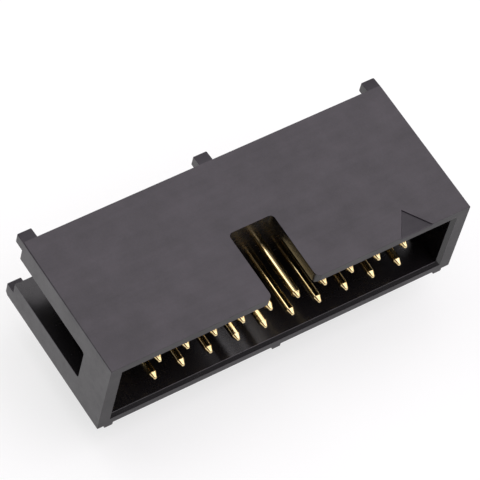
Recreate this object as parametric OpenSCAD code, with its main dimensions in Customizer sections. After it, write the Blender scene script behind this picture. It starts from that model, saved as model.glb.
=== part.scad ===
// Right-angle box header: a moulded shroud with two rows of square contacts.
// X runs along the rows, the mouth faces -Y, and Z is up from the circuit board.
// The origin lies on the board's face, in the middle of the two rows of tails.

/* [Contacts] */
// Distance between neighbouring contacts, and between the two rows
pitch = 2.54; // [2.3:0.02:2.8]
// Columns of contacts, with two contacts in each
columns = 10; // [3:1:25]
// Side of the square contact wire
wire_w = 0.64; // [0.5:0.02:0.8]
// How far the contact tips stay behind the mouth
tip_recess = 0.5; // [0.2:0.1:1.5]
// Length of the coined taper at both ends of a contact
taper_len = 0.5; // [0.3:0.1:1]
// Width that the taper leaves at the very end
taper_w = 0.38; // [0.2:0.02:0.46]
// Inside radius of the right-angle bend
bend_r = 0.4; // [0.2:0.05:0.6]
// Straight wire between the floor wall and the first bend
lead_out = 0.1; // [0:0.05:0.5]
// Length of the tails below the face of the board
tail_len = 3.2; // [2:0.1:5]
// Gap on each side of a contact in its hole
hole_gap = 0.01; // [0.005:0.005:0.03]

/* [Housing] */
// Height of the housing, without its standoffs
body_h = 8.45; // [8:0.05:10]
// Distance from the last column to the outside of the end wall
end_margin = 5.14; // [4.2:0.02:7]
// Depth of the cavity behind the mouth
cavity_depth = 6.6; // [4.5:0.1:9]
// Thickness of the top wall and the hood
top_wall = 1.1; // [0.8:0.05:1.4]
// Thickness of the bottom wall
bottom_wall = 1; // [0.7:0.05:1.3]
// Thickness of the end walls beside the cavity
end_wall = 1.35; // [1:0.05:2]
// Thickness of the floor wall that holds the contacts
floor_wall = 2.5; // [1.5:0.1:4]
// Thickness of the two cheeks beside the tails
cheek_wall = 1.8; // [1.4:0.1:2.6]
// How far the hood reaches past the rear row of tails
hood_lap = 0.1; // [0:0.05:1]
// Bevel around the inside of the mouth
mouth_bevel = 0.3; // [0.1:0.05:0.5]
// Rounding of the four long edges of the housing
edge_r = 0.08; // [0.04:0.01:0.4]

/* [Key slot] */
// Width of the key slot in the top wall
key_w = 4.1; // [3:0.1:6]
// Length of the key slot from the mouth
key_len = 6.45; // [2:0.05:6.5]
// Radius of the key slot's inner corners
key_r = 0.4; // [0.1:0.05:1]
// Radius where the key slot meets the mouth
key_mouth_r = 0.5; // [0.1:0.05:0.8]

/* [End slots] */
// Distance from the mouth to the front of the end slots
slot_start = 3.45; // [2:0.05:5]
// Height of an end slot
slot_h = 3.6; // [2:0.1:4.5]
// Height of an end slot's lower edge above the underside
slot_rise = 2.55; // [1.8:0.05:3.5]
// Radius of an end slot's corners
slot_r = 0.25; // [0.1:0.05:0.8]

/* [Rear tabs] */
// Width of a tab
tab_w = 1.25; // [0.8:0.05:1.7]
// How far a tab stands out behind the hood
tab_len = 0.95; // [0.4:0.05:2]
// Height of an upper tab
upper_tab_h = 1.1; // [0.6:0.05:1.4]
// How far an upper tab's top slopes down to its back
upper_tab_drop = 0.1; // [0.05:0.05:0.4]
// Height of a lower tab
lower_tab_h = 1.35; // [0.8:0.05:1.7]
// Bevel on a lower tab's bottom edge at the back
lower_tab_bevel = 0.25; // [0.05:0.05:0.5]

/* [Standoffs] */
// Height of the ribs that the housing stands on
rib_h = 0.45; // [0.2:0.05:1]
// Width of a rib
rib_w = 0.75; // [0.4:0.05:1.5]
// Distance from the end of the housing to the first rib
rib_inset = 0.7; // [0.2:0.05:1.5]

/* [Contact 1 mark] */
// Width of the triangle at the mouth
mark_w = 3; // [1.5:0.1:4]
// Length of the triangle behind the mouth
mark_len = 2.2; // [1:0.1:4]
// Depth of the triangle in the top wall
mark_depth = 0.12; // [0.08:0.02:0.4]

/* [Hidden] */
$fn = 48;
// Cuts run this far past the face that they open
over = 1;

// Depths behind the mouth
floor_front = cavity_depth;
floor_back = floor_front + floor_wall;
first_tail = floor_back + lead_out + bend_r + wire_w / 2;
rear_tail = first_tail + pitch;
hood_back = rear_tail + wire_w / 2 + hood_lap;

// Places in the part's own frame
mouth_y = -(first_tail + rear_tail) / 2;
body_len = (columns - 1) * pitch + 2 * end_margin;
body_z = rib_h;
roof_z = body_z + body_h;
cavity_z = body_z + bottom_wall;
cavity_h = body_h - bottom_wall - top_wall;
row_mid_z = cavity_z + cavity_h / 2;
slot_reach = max(cheek_wall, end_wall) + 0.2;
contact_count = 2 * columns;

// Contact 1 is at the +X end of the upper row, contact 2 is below it, and so on.
function is_upper(n) = n % 2 == 1;
function column_x(c) = ((columns - 1) / 2 - c) * pitch;
function contact_x(n) = column_x(floor((n - 1) / 2));
function contact_z(n) = row_mid_z + (is_upper(n) ? 1 : -1) * pitch / 2;
function tail_y(n) = mouth_y + (is_upper(n) ? rear_tail : first_tail);
function contact_name(n) = str("contact_", n < 10 ? "0" : "", n);

// A rectangle centred on X that stands on the X axis, with rounded corners.
module rounded_outline(w, h, r) {
    translate([-w / 2 + r, 0]) square([w - 2 * r, h]);
    translate([-w / 2, r]) square([w, h - 2 * r]);
    for (x = [-1, 1], y = [r, h - r])
        translate([x * (w / 2 - r), y]) circle(r);
}

// The outer form of the housing, from the mouth to a depth behind it.
module outer_prism(depth) {
    translate([0, mouth_y + depth, body_z])
        rotate([90, 0, 0])
            linear_extrude(depth)
                rounded_outline(body_len, body_h, edge_r);
}

// Outline of the cavity in one direction: a half width that flares at the mouth.
module flared_outline(half, depth) {
    polygon([
        [-half, depth], [-half, mouth_bevel],
        [-half - mouth_bevel, 0], [-half - mouth_bevel, -over],
        [half + mouth_bevel, -over], [half + mouth_bevel, 0],
        [half, mouth_bevel], [half, depth]
    ]);
}

// The mating cavity with the bevel around its mouth.
module cavity() {
    half_len = body_len / 2 - end_wall;
    translate([0, mouth_y, row_mid_z]) intersection() {
        linear_extrude(body_h, center = true)
            flared_outline(half_len, cavity_depth);
        rotate([0, 90, 0])
            linear_extrude(body_len, center = true)
                flared_outline(cavity_h / 2, cavity_depth);
    }
}

// The space behind the floor wall, open below and behind, where the tails go down.
module tail_chamber() {
    w = body_len - 2 * cheek_wall;
    translate([-w / 2, mouth_y + floor_back, -over])
        cube([w, hood_back - floor_back + tab_len + over, roof_z - top_wall + over]);
}

// The key slot in plan: rounded inside, and eased where it meets the mouth.
module key_outline() {
    translate([0, -over]) rounded_outline(key_w, key_len + over, key_r);
    difference() {
        translate([-key_w / 2 - key_mouth_r, -over])
            square([key_w + 2 * key_mouth_r, over + key_mouth_r]);
        for (side = [-1, 1])
            translate([side * (key_w / 2 + key_mouth_r), key_mouth_r])
                circle(key_mouth_r);
    }
}

module key_slot() {
    translate([0, mouth_y, roof_z - top_wall - over / 2])
        linear_extrude(top_wall + over)
            key_outline();
}

// An end slot runs from slot_start out through the back and in past the cheek.
module end_slot() {
    run = hood_back - slot_start + over;
    translate([body_len / 2 - slot_reach, mouth_y + slot_start + run / 2, body_z + slot_rise])
        rotate([90, 0, 90])
            linear_extrude(slot_reach + over)
                rounded_outline(run, slot_h, slot_r);
}

// Square holes through the floor wall.
module contact_holes() {
    side = wire_w + 2 * hole_gap;
    for (n = [1 : contact_count])
        translate([contact_x(n), mouth_y + (floor_front + floor_back) / 2, contact_z(n)])
            cube([side, floor_wall + over, side], center = true);
}

// A tab at a place along X, from its outline in depth and height behind the hood.
module tab(x, z, outline) {
    translate([x, mouth_y + hood_back, z])
        rotate([90, 0, 90])
            linear_extrude(tab_w, center = true)
                polygon(outline);
}

module rear_tabs() {
    end_x = (body_len - tab_w) / 2;
    upper = [
        [-tab_len, -upper_tab_h], [tab_len, -upper_tab_h],
        [tab_len, -upper_tab_drop], [0, 0], [-tab_len, 0]
    ];
    lower = [
        [-tab_len, 0], [tab_len - lower_tab_bevel, 0], [tab_len, lower_tab_bevel],
        [tab_len, lower_tab_h], [-tab_len, lower_tab_h]
    ];
    intersection() {
        outer_prism(hood_back + tab_len);
        union() {
            for (x = [-end_x, 0, end_x]) tab(x, roof_z, upper);
            for (x = [-end_x, end_x]) tab(x, body_z, lower);
        }
    }
}

// Three ribs under the bottom wall that stand on the board.
module standoffs() {
    end_x = body_len / 2 - rib_inset - rib_w / 2;
    for (x = [-end_x, 0, end_x])
        translate([x - rib_w / 2, mouth_y, 0])
            cube([rib_w, floor_back, body_z + bottom_wall / 2]);
}

// A sunk triangle at the mouth, over the column of contact 1.
module contact_one_mark() {
    translate([column_x(0), mouth_y, roof_z - mark_depth])
        linear_extrude(mark_depth + over)
            polygon([
                [-mark_w / 2, 0], [-mark_w / 2, -over], [mark_w / 2, -over],
                [mark_w / 2, 0], [0, mark_len]
            ]);
}

module housing() color("#2e2d2f") {
    difference() {
        union() {
            outer_prism(hood_back);
            standoffs();
        }
        cavity();
        tail_chamber();
        key_slot();
        end_slot();
        mirror([1, 0, 0]) end_slot();
        contact_holes();
        contact_one_mark();
    }
    rear_tabs();
}

// One face of a coined bar: full width at the root, tapered at the end.
module coined_outline(length) {
    polygon([
        [-wire_w / 2, 0], [wire_w / 2, 0], [wire_w / 2, length - taper_len],
        [taper_w / 2, length], [-taper_w / 2, length], [-wire_w / 2, length - taper_len]
    ]);
}

// A square bar along +Z whose end is coined to a blunt point on all four sides.
module coined_bar(length) {
    intersection() {
        rotate([90, 0, 0])
            linear_extrude(wire_w, center = true) coined_outline(length);
        rotate([90, 0, 90])
            linear_extrude(wire_w, center = true) coined_outline(length);
    }
}

// One contact: a mating bar, a right-angle bend and a tail.
module contact(n) color("#d8b25a") {
    mid_r = bend_r + wire_w / 2;
    bend_y = tail_y(n) - mid_r;
    bend_z = contact_z(n) - mid_r;
    tip_y = mouth_y + tip_recess;
    translate([contact_x(n), 0, 0]) {
        translate([0, bend_y, contact_z(n)]) rotate([90, 0, 0]) coined_bar(bend_y - tip_y);
        translate([0, bend_y, bend_z])
            rotate([90, 0, 90])
                rotate_extrude(angle = 90)
                    translate([mid_r, 0]) square(wire_w, center = true);
        translate([0, tail_y(n), bend_z]) rotate([180, 0, 0]) coined_bar(bend_z + tail_len);
    }
}

housing();
for (n = [1 : contact_count])
    contact(n);
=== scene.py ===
import math

import bmesh
import bpy
from mathutils import Matrix, Vector


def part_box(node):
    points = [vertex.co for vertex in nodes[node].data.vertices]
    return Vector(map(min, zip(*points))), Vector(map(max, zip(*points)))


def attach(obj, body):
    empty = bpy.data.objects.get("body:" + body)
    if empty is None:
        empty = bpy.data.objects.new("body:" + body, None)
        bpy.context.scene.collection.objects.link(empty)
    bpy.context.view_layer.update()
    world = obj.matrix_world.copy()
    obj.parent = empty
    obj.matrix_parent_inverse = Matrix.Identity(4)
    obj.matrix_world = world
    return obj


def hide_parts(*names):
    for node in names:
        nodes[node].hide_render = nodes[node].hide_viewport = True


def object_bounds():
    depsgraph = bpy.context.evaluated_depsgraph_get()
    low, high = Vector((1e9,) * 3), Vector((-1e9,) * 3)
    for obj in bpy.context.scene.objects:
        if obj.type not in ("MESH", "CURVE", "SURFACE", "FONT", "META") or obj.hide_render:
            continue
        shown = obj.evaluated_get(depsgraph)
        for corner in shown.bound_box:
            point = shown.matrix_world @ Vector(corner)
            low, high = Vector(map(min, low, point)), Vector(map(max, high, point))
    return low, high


# A right-angle box header: one moulded housing and twenty gold-plated contacts.
# Shapes are worked out in millimetres and turned to metres at the end.
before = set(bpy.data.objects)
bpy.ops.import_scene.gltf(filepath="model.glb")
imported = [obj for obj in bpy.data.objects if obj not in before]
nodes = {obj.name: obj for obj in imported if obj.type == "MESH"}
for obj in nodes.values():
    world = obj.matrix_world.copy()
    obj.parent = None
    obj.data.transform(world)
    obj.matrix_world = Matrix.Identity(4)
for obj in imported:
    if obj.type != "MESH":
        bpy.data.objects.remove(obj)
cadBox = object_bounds()
perMetre = 1000                     # millimetres in a metre
sharpTurn = math.radians(35)        # an edge that turns by more than this is shaded sharp
print("stage 1: frame loaded,", len(nodes), "nodes")


def linearColour(hexCode):
    parts = [int(hexCode[i:i + 2], 16) / 255 for i in (1, 3, 5)]
    return [p / 12.92 if p <= 0.04045 else ((p + 0.055) / 1.055) ** 2.4 for p in parts] + [1]


# The scale at which a pattern repeats once in a real size in millimetres.
def everyMillimetres(size):
    return perMetre / size


def boxInMillimetres(name):
    return [Vector(corner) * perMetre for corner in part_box(name)]


# Each input is linked if it is given a socket, and set if it is given a value.
def addNode(tree, kind, inputs=None, **settings):
    made = tree.nodes.new(kind)
    for name, value in settings.items():
        setattr(made, name, value)
    for name, value in (inputs or {}).items():
        if isinstance(value, bpy.types.NodeSocket):
            tree.links.new(value, made.inputs[name])
        else:
            made.inputs[name].default_value = value
    return made


# Adds up patterns, each by its share.
def blendPatterns(tree, *patterns):
    total = 0
    for pattern, share in patterns:
        total = addNode(tree, "ShaderNodeMath", {
            0: pattern.outputs["Fac"], 1: share, 2: total}, operation="MULTIPLY_ADD").outputs[0]
    return total


def emptyMaterial(name):
    material = bpy.data.materials.new(name)
    material.use_nodes = True
    material.node_tree.nodes.clear()
    return material, material.node_tree


# The camera looks down on the mouth from the left, slightly rolled.
camera = {
    "azimuth": -46.196,    # degrees, 0 looks along +Y
    "elevation": 55.509,
    "roll": 16.334,
    "aim": (0.003, -4.16, 5.851),
    "distance": 288.889,   # mm from the aim point
    "lens": 279.135,       # mm
    "sensor": 36,
    "clip": (0.01, 20),    # m
}


def makeCamera(values):
    data = bpy.data.cameras.new("productCamera")
    data.lens = values["lens"]
    data.sensor_width = values["sensor"]
    data.clip_start, data.clip_end = values["clip"]
    azimuth, elevation, roll = (math.radians(values[k]) for k in ("azimuth", "elevation", "roll"))
    back = Vector((math.sin(azimuth) * math.cos(elevation),
                   -math.cos(azimuth) * math.cos(elevation),
                   math.sin(elevation)))
    eye = bpy.data.objects.new("productCamera", data)
    bpy.context.scene.collection.objects.link(eye)
    place = (Vector(values["aim"]) + back * values["distance"]) / perMetre
    turn = (-back).to_track_quat("-Z", "Y").to_matrix().to_4x4()
    eye.matrix_world = Matrix.Translation(place) @ turn @ Matrix.Rotation(roll, 4, "Z")
    bpy.context.scene.camera = eye


makeCamera(camera)
print("stage 2: camera placed")


plastic = {
    # rounded edges are painted lighter: partly wear, partly a painted highlight
    "wornEdgeAndHighlight": "#3e363f",
    "cloudSize": 2.6,          # mm, cloudy patches of resin and filler
    "cloudShare": 0.55,
    "fibreSize": 0.16,         # mm, glass fibres near the skin
    "fibreShare": 0.25,
    "flowLength": 9,           # mm, streaks along the flow of the melt
    "flowWidth": 0.5,
    "flowShare": 0.2,
    "contrast": (0.36, 0.64),  # the blend's values that are fully dark and fully light
    "grainSize": 0.11,         # mm, spark-eroded grain, drawn coarser than the real 0.03
    "grainDepth": 0.003,       # mm
    "ior": 1.52,
}

# The surfaces that the mould leaves: most of the skin, what its polished cores form, the
# triangle and the tabs' tops, and the rim, where its halves shut. A smoother one sends less
# light astray, so it looks a deeper black beside its clear reflections, and a coarser one
# takes the edge off them. The cores' faces, deep inside the cavity, also get a darker
# colour than the skin: painted shade. Roughness runs from the light patches to the dark
# ones, and grain is the share of the grain's depth that is left.
finishes = {
    "Moulded": {"dark": "#201a21", "light": "#2c252d", "roughness": (0.28, 0.4), "grain": 1},
    "PolishedShaded": {"dark": "#131113", "light": "#191719", "roughness": (0.23, 0.29), "grain": 0.12},
    "Coarse": {"dark": "#242026", "light": "#29252b", "roughness": (0.6, 0.7), "grain": 1},
    "ShutFace": {"dark": "#231f24", "light": "#292529", "roughness": (0.47, 0.54), "grain": 1},
}


# Glass-filled thermoplastic, moulded in a spark-eroded tool: a near-black body whose fine
# grain spreads the light to a soft grey sheen, with faint clouds where resin and filler part.
def makePlastic(finishName, values):
    finish = finishes[finishName]
    material, tree = emptyMaterial("glassFilledThermoplastic" + finishName)
    place = addNode(tree, "ShaderNodeTexCoord").outputs["Object"]
    clouds = addNode(tree, "ShaderNodeTexNoise", {
        "Vector": place, "Scale": everyMillimetres(values["cloudSize"]),
        "Detail": 3, "Roughness": 0.6})
    fibres = addNode(tree, "ShaderNodeTexNoise", {
        "Vector": place, "Scale": everyMillimetres(values["fibreSize"]),
        "Detail": 2, "Roughness": 0.7})
    stretched = addNode(tree, "ShaderNodeVectorMath", {
        0: place, 1: (everyMillimetres(values["flowLength"]),
                      everyMillimetres(values["flowWidth"]),
                      everyMillimetres(values["flowWidth"]))}, operation="MULTIPLY")
    flow = addNode(tree, "ShaderNodeTexNoise", {
        "Vector": stretched.outputs[0], "Scale": 1, "Detail": 2, "Roughness": 0.5})
    blend = blendPatterns(tree, (clouds, values["cloudShare"]), (fibres, values["fibreShare"]),
                          (flow, values["flowShare"]))
    lowest, highest = values["contrast"]
    body = addNode(tree, "ShaderNodeMapRange", {
        "Value": blend, "From Min": lowest, "From Max": highest})
    tone = addNode(tree, "ShaderNodeMix", {
        0: body.outputs[0], 6: linearColour(finish["dark"]),
        7: linearColour(finish["light"])}, data_type="RGBA")
    # Rounded edges are painted lighter in patches: partly wear, partly a painted highlight where
    # the edges catch the light.
    wearAndHighlight = addNode(tree, "ShaderNodeAttribute", attribute_name="edgeWearAndHighlight")
    patchy = addNode(tree, "ShaderNodeMath", {
        0: wearAndHighlight.outputs["Fac"], 1: clouds.outputs["Fac"]}, operation="MULTIPLY")
    colour = addNode(tree, "ShaderNodeMix", {
        0: patchy.outputs[0], 6: tone.outputs[2],
        7: linearColour(values["wornEdgeAndHighlight"])}, data_type="RGBA")
    smoothest, roughest = finish["roughness"]
    gloss = addNode(tree, "ShaderNodeMapRange", {
        "Value": blend, "From Min": lowest, "From Max": highest,
        "To Min": roughest, "To Max": smoothest})
    pits = addNode(tree, "ShaderNodeTexNoise", {
        "Vector": place, "Scale": everyMillimetres(values["grainSize"]),
        "Detail": 3, "Roughness": 0.65})
    bump = addNode(tree, "ShaderNodeBump", {
        "Height": pits.outputs["Fac"], "Strength": finish["grain"],
        "Distance": values["grainDepth"] / perMetre})
    skin = addNode(tree, "ShaderNodeBsdfPrincipled", {
        "Base Color": colour.outputs[2], "Roughness": gloss.outputs[0],
        "IOR": values["ior"], "Normal": bump.outputs[0]})
    addNode(tree, "ShaderNodeOutputMaterial", {"Surface": skin.outputs[0]})
    return material


housingPlastics = [makePlastic(finishName, plastic) for finishName in finishes]

gold = {
    "pale": "#eedaaa",
    "deep": "#e2c486",
    "streakWidth": 0.05,       # mm, lines of the drawing die, drawn coarser than the real 0.01
    "streakLength": 3,
    "streakShare": 0.5,
    "patchSize": 0.7,          # mm, uneven plating
    "patchShare": 0.5,
    "contrast": (0.35, 0.65),  # the blend's values that are fully pale and fully deep
    "lineDepth": 0.0008,       # mm
    "roughness": (0.12, 0.2),
}


# Thin gold over nickel on drawn bronze wire: bright and warm, with fine lines along the wire
# that stretch each reflection lengthwise.
def makeGold(name, values):
    material, tree = emptyMaterial(name)
    flow = addNode(tree, "ShaderNodeAttribute", attribute_name="wireFlow").outputs["Vector"]
    stretched = addNode(tree, "ShaderNodeVectorMath", {
        0: flow, 1: (1 / values["streakWidth"], 1 / values["streakWidth"],
                     1 / values["streakLength"])}, operation="MULTIPLY")
    streaks = addNode(tree, "ShaderNodeTexNoise", {
        "Vector": stretched.outputs[0], "Scale": 1, "Detail": 2, "Roughness": 0.6})
    patches = addNode(tree, "ShaderNodeTexNoise", {
        "Vector": flow, "Scale": 1 / values["patchSize"], "Detail": 2, "Roughness": 0.5})
    blend = blendPatterns(tree, (streaks, values["streakShare"]), (patches, values["patchShare"]))
    lowest, highest = values["contrast"]
    depth = addNode(tree, "ShaderNodeMapRange", {
        "Value": blend, "From Min": lowest, "From Max": highest})
    tone = addNode(tree, "ShaderNodeMix", {
        0: depth.outputs[0], 6: linearColour(values["pale"]),
        7: linearColour(values["deep"])}, data_type="RGBA")
    smoothest, roughest = values["roughness"]
    gloss = addNode(tree, "ShaderNodeMapRange", {
        "Value": blend, "From Min": lowest, "From Max": highest,
        "To Min": smoothest, "To Max": roughest})
    bump = addNode(tree, "ShaderNodeBump", {
        "Height": streaks.outputs["Fac"], "Strength": 1,
        "Distance": values["lineDepth"] / perMetre})
    skin = addNode(tree, "ShaderNodeBsdfPrincipled", {
        "Base Color": tone.outputs[2], "Roughness": gloss.outputs[0],
        "Metallic": 1, "Normal": bump.outputs[0]})
    addNode(tree, "ShaderNodeOutputMaterial", {"Surface": skin.outputs[0]})
    return material


contactGold = makeGold("goldPlatedBronzeWire", gold)
print("stage 3: materials made")

roundedSlot = 1    # tells the faces of rounded edges apart, until each gets its finish


# Rounds the weighted edges of a mesh.
def roundEdges(name, bm, width, segments):
    raw = bpy.data.meshes.new(name)
    bm.to_mesh(raw)
    bm.free()
    draft = bpy.data.objects.new(name, raw)
    bpy.context.scene.collection.objects.link(draft)
    for slot in range(roundedSlot + 1):
        raw.materials.append(None)
    bevel = draft.modifiers.new("softEdges", "BEVEL")
    bevel.limit_method = "WEIGHT"
    bevel.width = width
    bevel.segments = segments
    bevel.use_clamp_overlap = False
    bevel.material = roundedSlot
    bevel.miter_outer = "MITER_SHARP"
    view = bpy.context.evaluated_depsgraph_get()
    shaped = bpy.data.meshes.new_from_object(draft.evaluated_get(view))
    bpy.data.objects.remove(draft)
    return shaped


# The faces of a node, welded and merged back into flat faces, in millimetres.
def weldedCopy(nodeName, values):
    bm = bmesh.new()
    bm.from_mesh(nodes[nodeName].data)
    bm.transform(Matrix.Scale(perMetre, 4) @ nodes[nodeName].matrix_world)
    bmesh.ops.remove_doubles(bm, verts=bm.verts, dist=values["weld"])
    bmesh.ops.dissolve_limit(bm, angle_limit=math.radians(values["flat"]), verts=bm.verts,
                             edges=bm.edges)
    bmesh.ops.recalc_face_normals(bm, faces=bm.faces)
    return bm


def openEdges(bm):
    return sum(1 for edge in bm.edges if not edge.is_manifold)


housing = {
    "edge": 0.03,         # mm, rounding of outside edges that the mould leaves
    "tabEdge": 0.1,
    "ribEdge": 0.14,
    "markEdge": 0.08,
    "segments": 3,
    "sharpest": 30,       # degrees, edges that turn by less are left as they are
    "tabLength": 0.95,    # mm, sizes of the solid's tabs, sunk triangle and ribs
    "markWidth": 3,
    "markLength": 2.2,
    "markDepth": 0.12,
    "ribHeight": 0.45,
    "skin": 0.35,         # mm, faces further inside than this come from polished cores and get painted shade
    "rimDepth": 0.05,
    "slack": 0.01,        # mm, how closely an edge or a face has to lie in its region
    "facing": 0.9,        # least share of a face's normal that points one way
    "level": 0.99,        # the same for the floor of the triangle
    "weld": 0.002,        # mm, corners of the solid that are closer than this are one
    "flat": 1,            # degrees, faces of the solid that turn by less are one
}


def shapeHousing(values, low, high):
    firstLow, firstHigh = boxInMillimetres("contact_01")
    markX = (firstLow.x + firstHigh.x) / 2
    wallBack = high.y - values["tabLength"]
    slack = values["slack"]
    bm = weldedCopy("housing", values)
    print("  welded housing:", len(bm.faces), "faces,", openEdges(bm), "open edges")
    weight = bm.edges.layers.float.new("bevel_weight_edge")
    widest = max(values["edge"], values["tabEdge"], values["ribEdge"], values["markEdge"])
    counts = {}
    for edge in bm.edges:
        if not edge.is_convex or edge.calc_face_angle(0) < math.radians(values["sharpest"]):
            continue
        ends = [v.co for v in edge.verts]
        kind = "edge"
        if all(p.y > wallBack + slack for p in ends):
            kind = "tabEdge"
        elif all(p.z < low.z + values["ribHeight"] - slack for p in ends):
            kind = "ribEdge"
        elif all(abs(p.x - markX) < values["markWidth"] / 2 + slack
                 and p.y < low.y + values["markLength"] + slack
                 and p.z > high.z - values["markDepth"] - slack for p in ends):
            kind = "markEdge"
        edge[weight] = values[kind] / widest
        counts[kind] = counts.get(kind, 0) + 1
    print("  edges to soften:", counts)
    return roundEdges("mouldedHousing", bm, widest, values["segments"])


# The name of the finish on a face: what the mould leaves, and, deep inside, a darker colour that
# paints shade.
def finishOf(face, values, low, high):
    centre, normal = face.calc_center_median(), face.normal
    rimBack = low.y + values["rimDepth"]
    wallBack = high.y - values["tabLength"]
    isMarkFloor = (normal.z > values["level"] and centre.y < low.y + values["markLength"]
                   and abs(centre.z - high.z + values["markDepth"]) < values["slack"])
    isTabTop = normal.z > values["facing"] and centre.y > wallBack
    if isMarkFloor or isTabTop:
        return "Coarse"
    if normal.y < -values["facing"] and centre.y < rimBack:
        return "ShutFace"
    skin = values["skin"]
    if (abs(centre.x) < high.x - skin and rimBack < centre.y < wallBack - skin
            and low.z + values["ribHeight"] + skin < centre.z < high.z - skin):
        # Faces deep inside the cavity: smoother cores, with a darker colour that paints shade.
        return "PolishedShaded"
    return "Moulded"


def dressHousing(values):
    low, high = boxInMillimetres("housing")
    shaped = shapeHousing(values, low, high)
    bm = bmesh.new()
    bm.from_mesh(shaped)
    print("  rounded housing:", len(bm.faces), "faces,", openEdges(bm), "open edges")
    # 1 on the rounded edges, which the plastic paints lighter: partly wear, partly a painted
    # highlight.
    wearAndHighlight = bm.verts.layers.float.new("edgeWearAndHighlight")
    for vert in bm.verts:
        isRounded = all(face.material_index == roundedSlot for face in vert.link_faces)
        vert[wearAndHighlight] = float(isRounded)
    finishNames = list(finishes)
    for face in bm.faces:
        face.smooth = True
        face.material_index = finishNames.index(finishOf(face, values, low, high))
    for edge in bm.edges:
        edge.smooth = edge.is_manifold and edge.calc_face_angle(0) < sharpTurn
    bm.to_mesh(shaped)
    bm.free()
    return shaped


# Evens the shading over flat faces, turns millimetres to metres and puts the piece on its
# body. Slots are filled in place, because clearing them would reset each face's own slot.
def addPiece(name, mesh, materials, replaced):
    for slot, material in enumerate(materials):
        if slot < len(mesh.materials):
            mesh.materials[slot] = material
        else:
            mesh.materials.append(material)
    piece = bpy.data.objects.new(name, mesh)
    bpy.context.scene.collection.objects.link(piece)
    evened = piece.modifiers.new("evenShading", "WEIGHTED_NORMAL")
    evened.keep_sharp = True
    view = bpy.context.evaluated_depsgraph_get()
    final = bpy.data.meshes.new_from_object(piece.evaluated_get(view))
    piece.modifiers.clear()
    piece.data = final
    final.name = name
    final.transform(Matrix.Scale(1 / perMetre, 4))
    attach(piece, "root")
    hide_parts(replaced)


addPiece("mouldedHousing", dressHousing(housing), housingPlastics, "housing")
print("stage 4: housing shaped")

contact = {
    "bendRadius": 0.4,      # mm, inside of the bend
    "bendSteps": 14,
    "pinSteps": 6,          # of the straight wire before the bend
    "tailSteps": 5,
    "taperLength": 0.54,    # mm, of the point at each end
    "taper": ((0, 0.08), (0.015, 0.105), (0.05, 0.132), (0.09, 0.152), (0.27, 0.228),
              (0.43, 0.295), (0.48, 0.314)),    # mm, distances from the end and half widths
    "cornerRadius": 0.2,    # mm, of the square wire
    "roundest": 0.75,       # the corners' radius is at most this share of the half width
    "cornerSteps": 4,
}


# The stations of a contact: centre, lean, half width and length along the wire.
def contactStations(values, low, high):
    full = (high.x - low.x) / 2
    midRadius = values["bendRadius"] + full
    bendY, bendZ = high.y - full - midRadius, high.z - full - midRadius
    level, down = high.z - full, math.pi / 2
    point = values["taperLength"]
    taper = [*values["taper"], (point, full)]
    stations = [(low.y + d, level, 0, w, d) for d, w in taper]
    straight = bendY - low.y
    for k in range(1, values["pinSteps"]):
        d = point + (straight - point) * k / values["pinSteps"]
        stations.append((low.y + d, level, 0, full, d))
    for k in range(values["bendSteps"] + 1):
        lean = down * k / values["bendSteps"]
        stations.append((bendY + midRadius * math.sin(lean), bendZ + midRadius * math.cos(lean),
                         lean, full, straight + midRadius * lean))
    tail = bendZ - low.z
    travelled = straight + midRadius * down
    for k in range(1, values["tailSteps"]):
        d = (tail - point) * k / values["tailSteps"]
        stations.append((bendY + midRadius, bendZ - d, down, full, travelled + d))
    stations += [(bendY + midRadius, low.z + d, down, w, travelled + tail - d)
                 for d, w in reversed(taper)]
    return stations


# The outline of the wire: a square with rounded corners.
def squareSection(half, values):
    radius = min(values["cornerRadius"], values["roundest"] * half)
    steps = values["cornerSteps"]
    points = []
    for corner, (sx, sz) in enumerate(((1, 1), (-1, 1), (-1, -1), (1, -1))):
        for k in range(steps + 1):
            turn = math.pi / 2 * (corner + k / steps)
            points.append((sx * (half - radius) + radius * math.cos(turn),
                           sz * (half - radius) + radius * math.sin(turn)))
    return points


def shapeContact(nodeName, values):
    low, high = boxInMillimetres(nodeName)
    middleX = (low.x + high.x) / 2
    bm = bmesh.new()
    flow = bm.verts.layers.float_vector.new("wireFlow")
    rings = []
    for y, z, lean, half, along in contactStations(values, low, high):
        ring = []
        for a, b in squareSection(half, values):
            vert = bm.verts.new((middleX + a, y + b * math.sin(lean), z + b * math.cos(lean)))
            vert[flow] = (a + middleX, b + z, along)
            ring.append(vert)
        rings.append(ring)
    for near, far in zip(rings, rings[1:]):
        for k in range(len(near)):
            n = (k + 1) % len(near)
            bm.faces.new((near[k], near[n], far[n], far[k]))
    bm.faces.new(rings[0])
    bm.faces.new(reversed(rings[-1]))
    bmesh.ops.recalc_face_normals(bm, faces=bm.faces)
    for face in bm.faces:
        face.smooth = True
    for edge in bm.edges:
        edge.smooth = edge.calc_face_angle(0) < sharpTurn
    mesh = bpy.data.meshes.new(nodeName)
    bm.to_mesh(mesh)
    bm.free()
    return mesh


for nodeName in sorted(n for n in nodes if n.startswith("contact_")):
    addPiece("goldContact" + nodeName[-2:], shapeContact(nodeName, contact), (contactGold,),
             nodeName)
print("stage 5: contacts shaped")


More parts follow.
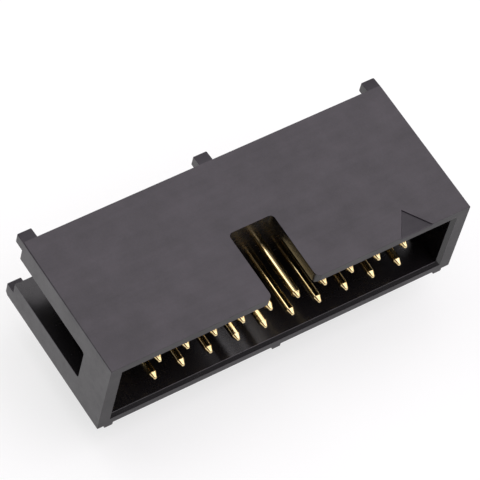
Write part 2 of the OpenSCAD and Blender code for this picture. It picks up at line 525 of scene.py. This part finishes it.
# A white floor, a dim room with one bright side, and a large soft lamp above the back left.
studio = {
    "floorSize": 6,              # m
    "floorColour": "#9a9a9a",
    "floorLift": 0.68,           # makes the seen floor white without lighting the part
    "lampDirection": (-0.35, 0.45, 0.82),
    "lampDistance": 0.5,         # m
    "lampSize": 0.4,
    "lampPower": 0.8,            # W
    "dimRoom": 0.12,
    "brightSide": 2,
    "brightColour": "#fffaff",
    "brightDirection": (0.45, -0.1, 0.89),
    "brightAngles": (52, 30),    # degrees, where the bright side fades out and where it is full
    "backdropColour": "#ffffff",
    "horizon": (0.09, 0.16),     # heights where the backdrop starts to fade and where it ends
}


# 1 where a surface is seen, straight or in a reflection, and 0 where it only sends light.
def seenRays(tree):
    rays = addNode(tree, "ShaderNodeLightPath").outputs
    seen = addNode(tree, "ShaderNodeMath", {0: rays["Is Camera Ray"], 1: rays["Is Glossy Ray"]},
                   operation="MAXIMUM")
    seen = addNode(tree, "ShaderNodeMath", {0: seen.outputs[0], 1: rays["Is Transmission Ray"]},
                   operation="MAXIMUM")
    return seen.outputs[0]


def makeFloor(values):
    bm = bmesh.new()
    bmesh.ops.create_grid(bm, x_segments=1, y_segments=1, size=values["floorSize"] / 2)
    mesh = bpy.data.meshes.new("studioFloor")
    bm.to_mesh(mesh)
    bm.free()
    floor = bpy.data.objects.new("studioFloor", mesh)
    floor.location.z = cadBox[0].z
    bpy.context.scene.collection.objects.link(floor)
    material, tree = emptyMaterial("whitePaperSweep")
    lift = addNode(tree, "ShaderNodeMath", {0: seenRays(tree), 1: values["floorLift"]},
                   operation="MULTIPLY")
    paper = addNode(tree, "ShaderNodeBsdfDiffuse", {"Color": linearColour(values["floorColour"])})
    glow = addNode(tree, "ShaderNodeEmission", {"Strength": lift.outputs[0]})
    both = addNode(tree, "ShaderNodeAddShader", {0: paper.outputs[0], 1: glow.outputs[0]})
    addNode(tree, "ShaderNodeOutputMaterial", {"Surface": both.outputs[0]})
    mesh.materials.append(material)


def makeRoom(values):
    world = bpy.data.worlds.new("studioRoom")
    bpy.context.scene.world = world
    world.use_nodes = True
    tree = world.node_tree
    tree.nodes.clear()
    direction = addNode(tree, "ShaderNodeTexCoord").outputs["Generated"]
    height = addNode(tree, "ShaderNodeSeparateXYZ", {"Vector": direction}).outputs["Z"]
    towards = addNode(tree, "ShaderNodeVectorMath", {
        0: direction, 1: Vector(values["brightDirection"]).normalized()}, operation="DOT_PRODUCT")
    fade, full = (math.cos(math.radians(angle)) for angle in values["brightAngles"])
    side = addNode(tree, "ShaderNodeMapRange", {
        "Value": towards.outputs["Value"], "From Min": fade, "From Max": full,
        "To Min": values["dimRoom"], "To Max": values["brightSide"]},
        interpolation_type="SMOOTHSTEP")
    backdrop = addNode(tree, "ShaderNodeMapRange", {
        "Value": height, "From Min": values["horizon"][0],
        "From Max": values["horizon"][1], "To Min": 1, "To Max": 0},
        interpolation_type="SMOOTHSTEP")
    backdrop = addNode(tree, "ShaderNodeMath", {0: backdrop.outputs[0], 1: seenRays(tree)},
                       operation="MULTIPLY")
    level = addNode(tree, "ShaderNodeMath", {0: side.outputs[0], 1: backdrop.outputs[0]},
                    operation="MAXIMUM")
    tint = addNode(tree, "ShaderNodeMix", {
        0: backdrop.outputs[0], 6: linearColour(values["brightColour"]),
        7: linearColour(values["backdropColour"])}, data_type="RGBA")
    sky = addNode(tree, "ShaderNodeBackground", {
        "Color": tint.outputs[2], "Strength": level.outputs[0]})
    addNode(tree, "ShaderNodeOutputWorld", {"Surface": sky.outputs[0]})


def makeLamp(values):
    data = bpy.data.lights.new("softLamp", "AREA")
    data.shape = "DISK"
    data.size = values["lampSize"]
    data.energy = values["lampPower"]
    lamp = bpy.data.objects.new("softLamp", data)
    direction = Vector(values["lampDirection"]).normalized()
    lamp.location = direction * values["lampDistance"]
    lamp.rotation_mode = "QUATERNION"
    lamp.rotation_quaternion = direction.to_track_quat("Z", "Y")
    bpy.context.scene.collection.objects.link(lamp)


makeFloor(studio)
makeRoom(studio)
makeLamp(studio)
bpy.context.scene.view_settings.view_transform = "Standard"
print("stage 6: studio set")
